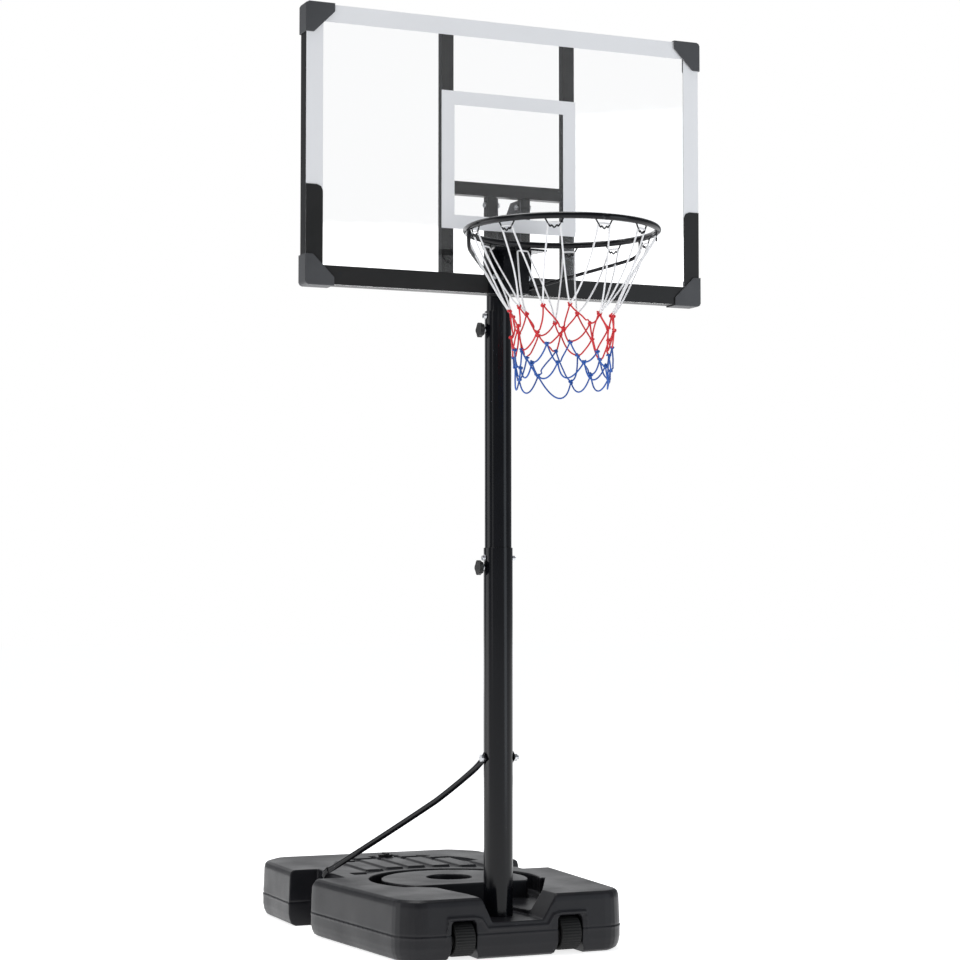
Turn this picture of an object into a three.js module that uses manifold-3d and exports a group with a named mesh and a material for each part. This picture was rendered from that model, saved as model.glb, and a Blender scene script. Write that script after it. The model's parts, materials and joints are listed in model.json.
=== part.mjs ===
// A portable basketball hoop: water-filled base, telescoping pole, framed clear backboard, rim and net.
// Millimetres. The origin is on the floor at the pole's axis, +Z is up and the hoop faces -Y.
import * as THREE from 'three';
import { mergeVertices } from 'three/addons/utils/BufferGeometryUtils.js';
import Module from 'manifold-3d';

const wasm = await Module();
wasm.setup();

// ---- driving dimensions ----
const GAP = 0.3;                     // clearance between neighbouring pieces

const TANK_TOP = 155;
const TANK_FRONT = -125;
const TANK_REAR = 985;
const TANK_HALF = 358;               // widest half-width of the base
const SEAM_Z = 62;                   // moulding line round the tank
const ISLAND = { y: 290, r: 198, front: 175, groove: 232, floor: 110 };
const CUP = { y: 328, r: 62, depth: 45 };
const POCKET_FLOOR = 92;
const NOTCH = { front: 443, rear: 640, wall: 266 };
const TREAD = { x: 20, y: 672, r: 214, half: 240, front: 470, depth: 7 };
const BLOCKS = { columns: 7, pitch: 71, half: 25, reach: 300, front: 322, rear: 540, gap: 32 };
const FILL = { x: 20, y: 858, hole: 19 };

const WHEEL = { x: 148, y: -92, z: 52, r: 44, half: 27.5 };
const AXLE_R = 5;
const AXLE_HALF = 212;

const LOWER = { r: 38, wall: 2, z0: POCKET_FLOOR + GAP, z1: 1042 };
const MID = { r: 35, wall: 3.5, z0: 550, z1: 1661 };
const UPPER = { r: 30, wall: 2.5, z0: 1100, z1: 1865 };
const STRUT_BOLT_Z = 497;
const STRUT_FOOT = { y: 605, z: 120 };
const STRUT_R = 8;
const LOCK_Z = { lower: 1015, upper: 1648 };
const KNOB_Z = { lower: 990, upper: 1611 };
const KNOB_R = 20;

const BOARD = { half: 559, z0: 1697, z1: 2408, front: -73, thick: 4 };
const RAIL = { w: 24, d: 38, wall: 1.5 };
const BAR = { x0: 156, x1: 189, d: 25, wall: 1.5 };
const CROSS = { z0: 1951, z1: 1985 };
const SHORT_BAR = { x0: 35.3, x1: 60.3 };
const PLATE = { x0: 30.5, x1: 34.5, z0: 1765, z1: 1948, rear: 16 };
const TRIM = { w: 45, bottom: 48, top: 1948, front: -75 };
const CORNER = { side: 78, nose: 22, shell: 3.5, front: -79.5, rear: -27 };

const RIM = { z: 1817, r: 236.6, rod: 8, y: -388.6, hooks: 12 };
const RIM_BOX = { half: 36, front: -118, z0: 1695, z1: 1803, wall: 4 };
const RIM_BACK = { half: 60, z1: 1812, thick: 5 };
const NET = { top: 1785, bottom: 1417, rTop: 213, rWaist: 150, rBottom: 128, wall: 5 };

// ---- colours and finishes ----
const finish = (color, roughness, metalness) => new THREE.MeshStandardMaterial({ color, roughness, metalness });
const tankPlastic = finish(0x2b2c2e, 0.55, 0);
const blackSteel = finish(0x17181b, 0.3, 0.5);
const frameSteel = finish(0x2d2d2d, 0.5, 0.4);
const silver = finish(0xb9bcc0, 0.3, 0.9);
const blackPlastic = finish(0x1c1c1d, 0.5, 0);
const greyPlastic = finish(0x4a4b4d, 0.6, 0);
const rubber = finish(0x161616, 0.85, 0);
const netCord = finish(0xf0f0f0, 0.9, 0);
const clear = finish(0xf4f7f8, 0.1, 0);
clear.transparent = true;
clear.opacity = 0.25;

// ---- solids ----
// A closed solid from any closed geometry, whichever way round its triangles are wound.
function solid(geometry) {
  const bare = new THREE.BufferGeometry();
  bare.setAttribute('position', geometry.getAttribute('position').clone());
  if (geometry.index) bare.setIndex(geometry.index.clone());
  const merged = mergeVertices(bare, 1e-3);
  const p = merged.getAttribute('position').array;
  const all = merged.index.array;
  const kept = [];
  let volume = 0;
  for (let i = 0; i < all.length; i += 3) {
    const [a, b, c] = [all[i], all[i + 1], all[i + 2]];
    if (a === b || b === c || c === a) continue;
    kept.push(a, b, c);
    const [u, v, w] = [a, b, c].map((k) => new THREE.Vector3().fromArray(p, 3 * k));
    volume += u.dot(v.cross(w));
  }
  if (volume < 0) kept.reverse();
  const triVerts = new Uint32Array(kept);
  return new wasm.Manifold(new wasm.Mesh({ numProp: 3, vertProperties: new Float32Array(p), triVerts }));
}

function union(pieces) {
  return pieces.reduce((sum, piece) => sum.add(piece));
}

function cut(body, tools) {
  return tools.reduce((left, tool) => left.subtract(tool), body);
}

const span = (a, b) => [Math.min(a, b), Math.max(a, b)];

function box(xs, ys, zs) {
  const [[x0, x1], [y0, y1], [z0, z1]] = [span(...xs), span(...ys), span(...zs)];
  const geometry = new THREE.BoxGeometry(x1 - x0, y1 - y0, z1 - z0);
  geometry.translate((x0 + x1) / 2, (y0 + y1) / 2, (z0 + z1) / 2);
  return solid(geometry);
}

// An outline pulled along an axis. The outline's pairs are (x, y), (x, z) or (y, z), in that order.
function prism(axis, outline, from, to) {
  const shape = new THREE.Shape(outline.map(([a, b]) => new THREE.Vector2(a, b)));
  const [low, high] = span(from, to);
  const geometry = new THREE.ExtrudeGeometry(shape, { depth: high - low, bevelEnabled: false });
  const X = new THREE.Vector3(1, 0, 0);
  const Y = new THREE.Vector3(0, 1, 0);
  const Z = new THREE.Vector3(0, 0, 1);
  if (axis === 'x') geometry.applyMatrix4(new THREE.Matrix4().makeBasis(Y, Z, X)).translate(low, 0, 0);
  if (axis === 'y') geometry.applyMatrix4(new THREE.Matrix4().makeBasis(X, Z, Y.negate())).translate(0, high, 0);
  if (axis === 'z') geometry.translate(0, 0, low);
  return solid(geometry);
}

function circle(a, b, r, sides = 32) {
  return Array.from({ length: sides }, (_, i) => {
    const turn = (2 * Math.PI * i) / sides;
    return [a + r * Math.cos(turn), b + r * Math.sin(turn)];
  });
}

// A round bar along an axis, centred on the other two coordinates.
const roundBar = (axis, a, b, r, from, to, sides = 24) => prism(axis, circle(a, b, r, sides), from, to);

// A profile of (radius, height) pairs turned about the Z axis.
function turned(profile, sides) {
  const points = profile.map(([r, z]) => new THREE.Vector2(r, z));
  return solid(new THREE.LatheGeometry(points, sides).rotateX(Math.PI / 2));
}

function pipe(r, wall, z0, z1, sides = 32) {
  return cut(roundBar('z', 0, 0, r, z0, z1, sides), [roundBar('z', 0, 0, r - wall, z0 - 1, z1 + 1, sides)]);
}

// A rod that follows a smooth curve through some points.
function rod(points, r, steps, sides = 8) {
  const path = new THREE.CatmullRomCurve3(points.map((p) => new THREE.Vector3(...p)), false, 'centripetal');
  const section = new THREE.Shape(circle(0, 0, r, sides).map(([a, b]) => new THREE.Vector2(a, b)));
  return solid(new THREE.ExtrudeGeometry(section, { steps, extrudePath: path }));
}

// Each corner of an outline becomes a short curve.
function softened(corners, radius, steps = 3) {
  const at = corners.map(([a, b]) => new THREE.Vector2(a, b));
  return at.flatMap((corner, i) => {
    const before = at[(i + at.length - 1) % at.length];
    const after = at[(i + 1) % at.length];
    const start = corner.clone().add(before.clone().sub(corner).setLength(radius));
    const end = corner.clone().add(after.clone().sub(corner).setLength(radius));
    const bend = new THREE.QuadraticBezierCurve(start, corner, end);
    return bend.getPoints(steps).map((p) => [p.x, p.y]);
  });
}

const mirrored = (outline) => outline.map(([x, y]) => [-x, y]).reverse();

// ---- base tank ----
// The outline shrunk by an inset at each corner, for a convex outline that runs anticlockwise.
function inset(outline, distance) {
  const at = outline.map(([a, b]) => new THREE.Vector2(a, b));
  return at.map((corner, i) => {
    const into = corner.clone().sub(at[(i + at.length - 1) % at.length]).normalize();
    const out = at[(i + 1) % at.length].clone().sub(corner).normalize();
    const normal = new THREE.Vector2(-into.y - out.y, into.x + out.x).normalize();
    const stretch = Math.max(0.5, normal.dot(new THREE.Vector2(-into.y, into.x)));
    return corner.clone().addScaledVector(normal, distance / stretch);
  });
}

// A stack of inset outlines, skinned and closed at both ends.
function stacked(outline, levels) {
  const n = outline.length;
  const position = levels.flatMap(([z, d]) => inset(outline, d).flatMap((p) => [p.x, p.y, z]));
  const index = [];
  for (let level = 0; level + 1 < levels.length; level++) {
    for (let i = 0; i < n; i++) {
      const [a, b] = [level * n + i, level * n + ((i + 1) % n)];
      index.push(a, b, b + n, a, b + n, a + n);
    }
  }
  const top = (levels.length - 1) * n;
  for (let i = 1; i + 1 < n; i++) {
    index.push(0, i + 1, i);
    index.push(top, top + i, top + i + 1);
  }
  const geometry = new THREE.BufferGeometry();
  geometry.setAttribute('position', new THREE.BufferAttribute(new Float32Array(position), 3));
  geometry.setIndex(index);
  return solid(geometry);
}

function tankShell() {
  const right = [[274, TANK_FRONT], [316, -80], [TANK_HALF, 420], [345, 905], [275, TANK_REAR]];
  const outline = softened([...right, ...mirrored(right)], 26);
  const levels = [
    [0, 20], [6, 9], [18, 3], [34, 0], [SEAM_Z - 2, 0], [SEAM_Z - 1, -1.5], [SEAM_Z + 1, -1.5],
    [SEAM_Z + 2, 0], [138, 3], [149, 6], [TANK_TOP, 14],
  ];
  return stacked(outline, levels);
}

// The open pocket that the pole stands in, which widens at its rear to meet the round groove.
function pocketCuts() {
  const top = TANK_TOP + 1;
  const funnel = [[-70, POCKET_FLOOR], [70, POCKET_FLOOR], [112, top], [-100, top]];
  const well = [[-72, -40], [72, -40], [60, 60], [60, ISLAND.front], [-60, ISLAND.front], [-60, 60]];
  const rightSweep = [[60, -30], [112, -30], [ISLAND.groove - 2, 205], [150, 205], [60, ISLAND.front + 5]];
  const leftSweep = [[-60, ISLAND.front + 5], [-150, 215], [-207, 200], [-122, 121], [-100, -30], [-60, -30]];
  return [
    prism('y', funnel, TANK_FRONT - 20, -29),
    prism('z', well, POCKET_FLOOR, top),
    cut(union([prism('z', rightSweep, 105, top), prism('z', leftSweep, 105, top)]), [islandPlug()]),
  ];
}

const halfPlane = (from, to) => box([-400, 400], [from, to], [0, 300]);

function islandPlug() {
  const round = roundBar('z', 0, ISLAND.y, ISLAND.r, ISLAND.floor - 30, TANK_TOP + 5, 48);
  return cut(round, [halfPlane(0, ISLAND.front)]);
}

function islandGroove() {
  const round = roundBar('z', 0, ISLAND.y, ISLAND.groove, ISLAND.floor, TANK_TOP + 1, 48);
  return cut(round, [halfPlane(0, ISLAND.front - 14), islandPlug()]);
}

function notchCut(side) {
  const { front, rear } = NOTCH;
  const profile = [[front, -1], [rear, -1], [rear, TANK_TOP + 1], [front - 18, TANK_TOP + 1],
    [front - 14, TANK_TOP - 8], [front - 7, TANK_TOP - 15], [front, TANK_TOP - 20]];
  return prism('x', profile, side * NOTCH.wall, side * (TANK_HALF + 40));
}

function archCut(side) {
  const inner = WHEEL.x - WHEEL.half - 6.5;
  const outer = WHEEL.x + WHEEL.half + 6.5;
  const profile = [[inner - 10, -1], [outer + 10, -1], [outer, 30], [outer, 92], [outer - 6, 99],
    [inner + 6, 99], [inner, 92], [inner, 30]];
  return prism('y', side > 0 ? profile : mirrored(profile), TANK_FRONT - 20, WHEEL.y + WHEEL.r + 6);
}

// The shallow tread panel behind the island, and the raised blocks that stand in it.
function treadPanel() {
  const { x, y, r, half, front } = TREAD;
  const zs = [TANK_TOP - TREAD.depth, TANK_TOP + 1];
  const panel = union([roundBar('z', x, y, r, ...zs, 48), box([x - half, x + half], [front, y - 40], zs)]);
  return cut(panel, [roundBar('z', 0, ISLAND.y, ISLAND.groove + 26, zs[0] - 1, zs[1] + 1, 48)]);
}

// One block per column, between two arcs round the island, and a second one behind it that runs into the
// panel's rear edge.
function treadBlocks() {
  const { columns, pitch, half, reach, front, rear, gap } = BLOCKS;
  const zs = [TANK_TOP - TREAD.depth - 1, TANK_TOP - 0.3];
  const blocks = [];
  for (let i = 0; i < columns; i++) {
    const across = (i - (columns - 1) / 2) * pitch;
    const bow = Math.sqrt(1 - (across / reach) ** 2);
    const [y0, y1] = [ISLAND.y + front * bow, ISLAND.y + rear * bow];
    const y2 = TREAD.y + Math.sqrt(TREAD.r ** 2 - across ** 2);
    const xs = [TREAD.x + across - half, TREAD.x + across + half];
    blocks.push(box(xs, [y0, y1], zs));
    if (y2 - y1 > gap) blocks.push(box(xs, [y1 + gap, y2 + 4], zs));
  }
  return blocks;
}

// The round seat that the filler cap screws down on, at the height of the tank's top.
function fillBoss() {
  return roundBar('z', FILL.x, FILL.y, FILL.hole + 7, TANK_TOP - TREAD.depth - 2, TANK_TOP, 32);
}

// The embossed line on the front face, which follows the pocket and steps over each wheel arch.
function frontLip() {
  const inner = WHEEL.x - WHEEL.half - 6.5;
  const half = [[84, POCKET_FLOOR - 12], [100, 104], [inner + 4, 109], [190, 109], [198, 60]];
  const line = [...mirrored(half), ...half];
  const width = 6;
  const shifted = line.map(([x, z]) => [x, z - width]);
  return prism('y', [...shifted, ...line.reverse()], TANK_FRONT - 2.5, TANK_FRONT + 10);
}

function baseTank() {
  const sides = [-1, 1];
  const body = union([tankShell(), frontLip()]);
  const hollowed = cut(body, [
    ...pocketCuts(),
    islandGroove(),
    roundBar('z', 0, CUP.y, CUP.r, TANK_TOP - CUP.depth, TANK_TOP + 1, 32),
    treadPanel(),
    roundBar('x', WHEEL.y, WHEEL.z, AXLE_R + GAP, -AXLE_HALF - 1, AXLE_HALF + 1, 12),
    ...sides.map(notchCut),
    ...sides.map(archCut),
    ...sides.map((s) => roundBar('x', STRUT_FOOT.y, STRUT_FOOT.z, 5.3, s * (NOTCH.wall - 32), s * 300, 12)),
  ]);
  const fillHole = roundBar('z', FILL.x, FILL.y, FILL.hole, TANK_TOP - 30, TANK_TOP + 1, 24);
  return cut(union([hollowed, fillBoss(), ...treadBlocks()]), [fillHole]);
}

// ---- wheels and axle ----
function wheel(side) {
  const { r, half } = WHEEL;
  const bore = AXLE_R + GAP;
  const profile = [[bore, -half], [13, -half], [15, -half + 6], [32, -half + 6], [34, -half], [r - 4, -half],
    [r, -half + 4], [r, half - 4], [r - 4, half], [34, half], [32, half - 6], [15, half - 6], [13, half],
    [bore, half], [bore, -half]];
  const upright = turned(profile, 24);
  return upright.rotate([0, 90, 0]).translate([side * WHEEL.x, WHEEL.y, WHEEL.z]);
}

// ---- pole ----
const crossHole = (z, r, from, to) => roundBar('x', 0, z, r, from, to, 16);

function lowerPole() {
  const tube = pipe(LOWER.r, LOWER.wall, LOWER.z0, LOWER.z1);
  return cut(tube, [
    crossHole(STRUT_BOLT_Z, 5.3, -60, 60),
    crossHole(KNOB_Z.lower, 4.6, -60, 0),
  ]);
}

function midPole() {
  return cut(pipe(MID.r, MID.wall, MID.z0, MID.z1), [crossHole(KNOB_Z.upper, 4.6, -60, 0)]);
}

const CLAMP_BOLTS = { lower: 1790, upper: 1835 };

function upperPole() {
  const holes = Object.values(CLAMP_BOLTS).map((z) => crossHole(z, 5.3, -60, 60));
  return cut(pipe(UPPER.r, UPPER.wall, UPPER.z0, UPPER.z1), holes);
}

function poleCap() {
  const lid = roundBar('z', 0, 0, UPPER.r, UPPER.z1 + GAP, UPPER.z1 + 6, 32);
  return union([lid, roundBar('z', 0, 0, UPPER.r - UPPER.wall - 0.6, UPPER.z1 - 14, UPPER.z1 + 3, 32)]);
}

// A bolt head or nut with six sides, its axis along X.
const hexagon = (y, z, acrossFlats) => circle(y, z, acrossFlats / Math.sqrt(3), 6);

function hexX(side, y, z, acrossFlats, from, to) {
  return prism('x', hexagon(y, z, acrossFlats), side * from, side * to);
}

function lockBolt(r, z) {
  return union([hexX(-1, 0, z, 13, r + 1.8, r + 7.5), roundBar('x', 0, z, 9, -r - 2, -r - GAP, 16)]);
}

function lockNut(r, z) {
  return union([hexX(1, 0, z, 13, r + 1.8, r + 8), roundBar('x', 0, z, 9, r + GAP, r + 2, 16),
    roundBar('x', 0, z, 4, r + 7, r + 12, 12)]);
}

function weldNut(r, z) {
  return cut(hexX(-1, 0, z, 17, r + GAP, r + 4.5), [crossHole(z, 4.6, -r - 20, 0)]);
}

// ---- clamp knobs: a washer that only slides, and a stud and grip that turn as they slide ----
const KNOB = { washer: 4.8, grip: 6.8, depth: 14, studEnd: 16.5 };

function knobWasher(r, z) {
  return cut(roundBar('x', 0, z, 10, -r - KNOB.washer - 1.6, -r - KNOB.washer, 20), [
    crossHole(z, 4.4, -r - 20, 0),
  ]);
}

const knobStud = (r, tubeInside, z) => roundBar('x', 0, z, 4, -r - KNOB.studEnd, -tubeInside - 0.5, 12);

function knobGrip(r, z) {
  const lobes = 5;
  const sides = 40;
  const outline = Array.from({ length: sides }, (_, i) => {
    const turn = (2 * Math.PI * i) / sides;
    const reach = KNOB_R - 1.6 + 1.6 * Math.cos(lobes * turn);
    return [reach * Math.cos(turn), z + reach * Math.sin(turn)];
  });
  const disc = prism('x', outline, -r - KNOB.grip - KNOB.depth, -r - KNOB.grip - 4);
  const hub = roundBar('x', 0, z, 11, -r - KNOB.grip - 8, -r - KNOB.grip, 20);
  return cut(union([disc, hub]), [crossHole(z, 4.3, -r - KNOB.studEnd - GAP, 0)]);
}

// ---- struts ----
function tab(side, x, from, to, half) {
  const along = new THREE.Vector2(to[0] - from[0], to[1] - from[1]).normalize();
  const across = new THREE.Vector2(-along.y, along.x).multiplyScalar(half);
  const strip = [
    [from[0] - across.x, from[1] - across.y], [to[0] - across.x, to[1] - across.y],
    [to[0] + across.x, to[1] + across.y], [from[0] + across.x, from[1] + across.y],
  ];
  const flat = union([
    prism('x', strip, side * x, side * (x + 4.6)),
    roundBar('x', ...from, half, side * x, side * (x + 4.6), 20),
  ]);
  return cut(flat, [roundBar('x', ...from, 5.3, side * (x - 5), side * (x + 10), 16)]);
}

function strut(side) {
  const route = [[46, 20, 482], [52, 38, 466], [66, 68, 442], [97, 142, 391], [112, 177, 369],
    [262, 519, 173], [274, 537, 164], [279, 556, 149], [276, 588, 130]];
  const tube = rod(route.map(([x, y, z]) => [side * x, y, z]), STRUT_R, 12, 10);
  const top = tab(side, LOWER.r + 0.6, [0, STRUT_BOLT_Z], [32, 472], 12);
  const foot = tab(side, NOTCH.wall + GAP, [STRUT_FOOT.y, STRUT_FOOT.z], [575, 139], 12);
  return union([tube, top, foot]);
}

const STRUT_TAB_OUT = LOWER.r + 5.2;

function strutBolt() {
  return union([
    hexX(-1, 0, STRUT_BOLT_Z, 17, STRUT_TAB_OUT + GAP, STRUT_TAB_OUT + 7),
    crossHole(STRUT_BOLT_Z, 5, -STRUT_TAB_OUT - 1, STRUT_TAB_OUT + 14),
  ]);
}

function strutNut() {
  return cut(hexX(1, 0, STRUT_BOLT_Z, 17, STRUT_TAB_OUT + GAP, STRUT_TAB_OUT + 9), [
    crossHole(STRUT_BOLT_Z, 5.3, 0, 100),
  ]);
}

function strutFootBolt(side) {
  const face = NOTCH.wall + 5.2;
  return union([
    hexX(side, STRUT_FOOT.y, STRUT_FOOT.z, 17, face, face + 7),
    roundBar('x', STRUT_FOOT.y, STRUT_FOOT.z, 5, side * (NOTCH.wall - 30), side * (face + 1), 12),
  ]);
}

// ---- filler cap ----
function fillSeal() {
  const ring = roundBar('z', FILL.x, FILL.y, 21, TANK_TOP + GAP, TANK_TOP + 2.8, 28);
  return cut(ring, [roundBar('z', FILL.x, FILL.y, 17.4, TANK_TOP - 5, TANK_TOP + 9, 28)]);
}

function fillCap() {
  const low = TANK_TOP + 3.1;
  return union([
    roundBar('z', FILL.x, FILL.y, 22, low, low + 4, 28),
    roundBar('z', FILL.x, FILL.y, 17, TANK_TOP - 20, low + 2, 28),
    box([FILL.x - 5, FILL.x + 5], [FILL.y - 17, FILL.y + 17], [low + 3, low + 8]),
  ]);
}

// ---- backboard ----
const BACK = BOARD.front + BOARD.thick + GAP;       // where the frame starts, behind the panel

// A rectangular tube, open along one axis.
function boxTube(along, xs, ys, zs, wall) {
  const outer = [span(...xs), span(...ys), span(...zs)];
  const reach = outer.map(([a, b], i) => ('xyz'[i] === along ? [a - 1, b + 1] : [a + wall, b - wall]));
  return cut(box(...outer), [box(...reach)]);
}

function sideRail(side) {
  const xs = [side * (BOARD.half - RAIL.w), side * BOARD.half];
  return boxTube('z', xs, [BACK, BACK + RAIL.d], [BOARD.z0, BOARD.z1], RAIL.wall);
}

function levelRail(z0, z1) {
  const reach = BOARD.half - RAIL.w - GAP;
  return boxTube('x', [-reach, reach], [BACK, BACK + RAIL.d], [z0, z1], RAIL.wall);
}

const INNER_LOW = BOARD.z0 + RAIL.w + GAP;
const INNER_HIGH = BOARD.z1 - RAIL.w - GAP;

function uprightBar(side) {
  return boxTube('z', [side * BAR.x0, side * BAR.x1], [BACK, BACK + BAR.d], [INNER_LOW, INNER_HIGH], BAR.wall);
}

function crossBar() {
  const reach = BAR.x0 - GAP;
  return boxTube('x', [-reach, reach], [BACK, BACK + BAR.d], [CROSS.z0, CROSS.z1], BAR.wall);
}

const BAR_BOLT = { y: BACK + BAR.d / 2, z: 1930 };

function shortBar(side) {
  const xs = [side * SHORT_BAR.x0, side * SHORT_BAR.x1];
  const tube = boxTube('z', xs, [BACK, BACK + BAR.d], [INNER_LOW, CROSS.z0 - GAP], BAR.wall);
  return cut(tube, [roundBar('x', BAR_BOLT.y, BAR_BOLT.z, 4.4, side * 20, side * 80, 12)]);
}

function bracketPlate(side) {
  const { z0, z1, rear } = PLATE;
  const profile = [[BACK, z0], [rear, z0], [rear, z1 - 26], [rear - 26, z1], [BACK, z1]];
  const plate = prism('x', profile, side * PLATE.x0, side * PLATE.x1);
  return cut(plate, [
    ...Object.values(CLAMP_BOLTS).map((z) => crossHole(z, 5.3, -60, 60)),
    roundBar('x', BAR_BOLT.y, BAR_BOLT.z, 4.4, side * 20, side * 80, 12),
  ]);
}

function clampBolt(z) {
  const face = PLATE.x1 + GAP;
  return union([
    hexX(-1, 0, z, 15, face, face + 6),
    hexX(1, 0, z, 15, face, face + 8),
    crossHole(z, 5, -face - 1, face + 11),
  ]);
}

function barBolt(side) {
  const { y, z } = BAR_BOLT;
  return union([
    hexX(side, y, z, 13, SHORT_BAR.x1 + GAP, SHORT_BAR.x1 + 6),
    hexX(side, y, z, 13, PLATE.x0 - 6.5, PLATE.x0 - GAP),
    roundBar('x', y, z, 4, side * (PLATE.x0 - 9), side * (SHORT_BAR.x1 + 2), 12),
  ]);
}

function panel() {
  return box([-BOARD.half, BOARD.half], [BOARD.front, BOARD.front + BOARD.thick], [BOARD.z0, BOARD.z1]);
}

const TRIM_YS = [TRIM.front, BOARD.front - GAP];

function bottomTrim() {
  return box([-BOARD.half, BOARD.half], TRIM_YS, [BOARD.z0, BOARD.z0 + TRIM.bottom]);
}

function sideTrim(side) {
  const low = BOARD.z0 + TRIM.bottom + GAP;
  const [inner, outer] = [BOARD.half - TRIM.w, BOARD.half];
  const strip = [[inner, low], [outer, low], [outer, TRIM.top], [inner + 16, TRIM.top],
    [inner + 5, TRIM.top - 5], [inner, TRIM.top - 16]];
  return prism('y', side > 0 ? strip : mirrored(strip), ...TRIM_YS);
}

// A moulded cup over one corner of the board. Behind the board it covers the rails only.
function cornerGuard(side, top) {
  const { side: reach, nose, shell, front, rear } = CORNER;
  const edgeX = BOARD.half + shell;
  const edgeZ = (top ? BOARD.z1 : BOARD.z0) + (top ? shell : -shell);
  const inward = top ? -1 : 1;
  const at = (a, b) => [side * (edgeX - a), edgeZ + inward * b];
  const outline = [at(0, 9), at(3, 3), at(9, 0), at(reach, 0), at(reach, nose), at(nose, reach), at(0, reach)];
  const wide = prism('y', side * inward > 0 ? outline.reverse() : outline, front, rear);
  const hollow = box(
    [side * 300, side * (BOARD.half + GAP)],
    [TRIM.front - GAP, BACK + RAIL.d + GAP],
    top ? [2000, BOARD.z1 + GAP] : [BOARD.z0 - GAP, 2000],
  );
  const openBack = box(
    [side * 300, side * (edgeX - 28)],
    [BACK + 1, rear + 1],
    top ? [2000, edgeZ - 28] : [edgeZ + 28, 2000],
  );
  return cut(wide, [hollow, openBack]);
}

// ---- rim ----
const ringPoint = (turn, r, z) => [r * Math.sin(turn), RIM.y - r * Math.cos(turn), z];

// One wire hook: down from the rod, a shallow valley, and up again.
function hook(turn) {
  const r = RIM.r - 3;
  const half = [[16, 9], [8, 20], [0, 26]];
  const wire = [...half, ...half.slice(0, 2).reverse().map(([a, b]) => [-a, b])];
  return rod(wire.map(([along, drop]) => ringPoint(turn + along / r, r, RIM.z + 4 - drop)), 1.9, 5, 4);
}

function rimRing() {
  const torus = solid(new THREE.TorusGeometry(RIM.r, RIM.rod, 8, 48)).translate([0, RIM.y, RIM.z]);
  const hooks = Array.from({ length: RIM.hooks }, (_, i) => hook((2 * Math.PI * i) / RIM.hooks));
  return union([torus, ...hooks]);
}

const RIM_FACE = TRIM.front - GAP;                  // where the rim's parts meet the board
const BOX_BACK = RIM_FACE - RIM_BACK.thick - GAP;

function rimBackPlate() {
  const { half, thick, z1 } = RIM_BACK;
  const plate = box([-half, half], [RIM_FACE - thick, RIM_FACE], [BOARD.z0, z1]);
  return cut(plate, [-1, 1].map((s) => roundBar('y', s * 47, 1740, 4.4, -100, -60, 12)));
}

function rimBox() {
  const { half, front, wall, z0, z1 } = RIM_BOX;
  return cut(box([-half, half], [front, BOX_BACK], [z0, z1]), [
    box([-half + wall, half - wall], [front + wall, BOX_BACK + 1], [z0 - 1, z1 + 1]),
  ]);
}

function rimShelf() {
  const back = BOX_BACK;
  const half = [[40, -152], [74, -148], [74, -138], [60, back]];
  const plan = [...half, ...mirrored(half)];
  return prism('z', plan, RIM_BOX.z1 + GAP, RIM.z - RIM.rod - GAP);
}

function rimBrace(side) {
  const route = [[234.3, -355.7, 1808.6], [234.6, -355, 1796], [234.5, -351, 1783], [228, -336, 1770],
    [206, -304, 1761], [60, -120, 1716], [42, -100, 1710]];
  return rod(route.map(([x, y, z]) => [side * x, y, z]), 4.5, 16, 8);
}

function domeNut(side) {
  const x = side * 47;
  const z = 1740;
  const face = RIM_FACE - RIM_BACK.thick - GAP;
  return union([
    prism('y', hexagon(x, z, 13), face - 7, face),
    roundBar('y', x, z, 5, face - 11, face - 6, 12),
    roundBar('y', x, z, 4, face - 1, RIM_FACE - GAP, 12),
  ]);
}

// ---- net: the funnel that its cords hang in ----
function net() {
  const { top, bottom, rTop, rWaist, rBottom, wall } = NET;
  const waist = bottom + (top - bottom) * 0.4;
  const outer = [[rTop, top], [rWaist, waist], [rBottom, bottom]];
  const inner = [...outer].reverse().map(([r, z]) => [r - wall, z]);
  return turned([...outer, ...inner, outer[0]], 32).translate([0, RIM.y, 0]);
}

// ---- assembly ----
const hoop = new THREE.Group();

function add(name, material, manifold) {
  const { vertProperties, triVerts } = manifold.getMesh();
  const geometry = new THREE.BufferGeometry();
  geometry.setAttribute('position', new THREE.BufferAttribute(new Float32Array(vertProperties), 3));
  geometry.setIndex(new THREE.BufferAttribute(new Uint32Array(triVerts), 1));
  geometry.computeVertexNormals();
  const mesh = new THREE.Mesh(geometry, material);
  mesh.name = name;
  hoop.add(mesh);
}

const SIDES = [['left', -1], ['right', 1]];

add('base_tank', tankPlastic, baseTank());
add('axle', silver, roundBar('x', WHEEL.y, WHEEL.z, AXLE_R, -AXLE_HALF, AXLE_HALF, 12));
add('fill_seal', rubber, fillSeal());
add('fill_cap', blackPlastic, fillCap());

add('lower_pole', blackSteel, lowerPole());
add('mid_pole', blackSteel, midPole());
add('upper_pole', blackSteel, upperPole());
add('pole_cap', blackPlastic, poleCap());
add('strut_bolt', silver, strutBolt());
add('strut_nut', silver, strutNut());

for (const [stage, tube, inside] of [['lower', LOWER, MID], ['upper', MID, UPPER]]) {
  add(`lock_bolt_${stage}`, silver, lockBolt(tube.r, LOCK_Z[stage]));
  add(`lock_nut_${stage}`, silver, lockNut(tube.r, LOCK_Z[stage]));
  add(`weld_nut_${stage}`, blackSteel, weldNut(tube.r, KNOB_Z[stage]));
  add(`knob_washer_${stage}`, silver, knobWasher(tube.r, KNOB_Z[stage]));
  add(`knob_stud_${stage}`, silver, knobStud(tube.r, inside.r, KNOB_Z[stage]));
  add(`knob_grip_${stage}`, blackPlastic, knobGrip(tube.r, KNOB_Z[stage]));
  add(`clamp_bolt_${stage}`, silver, clampBolt(CLAMP_BOLTS[stage]));
}

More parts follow.
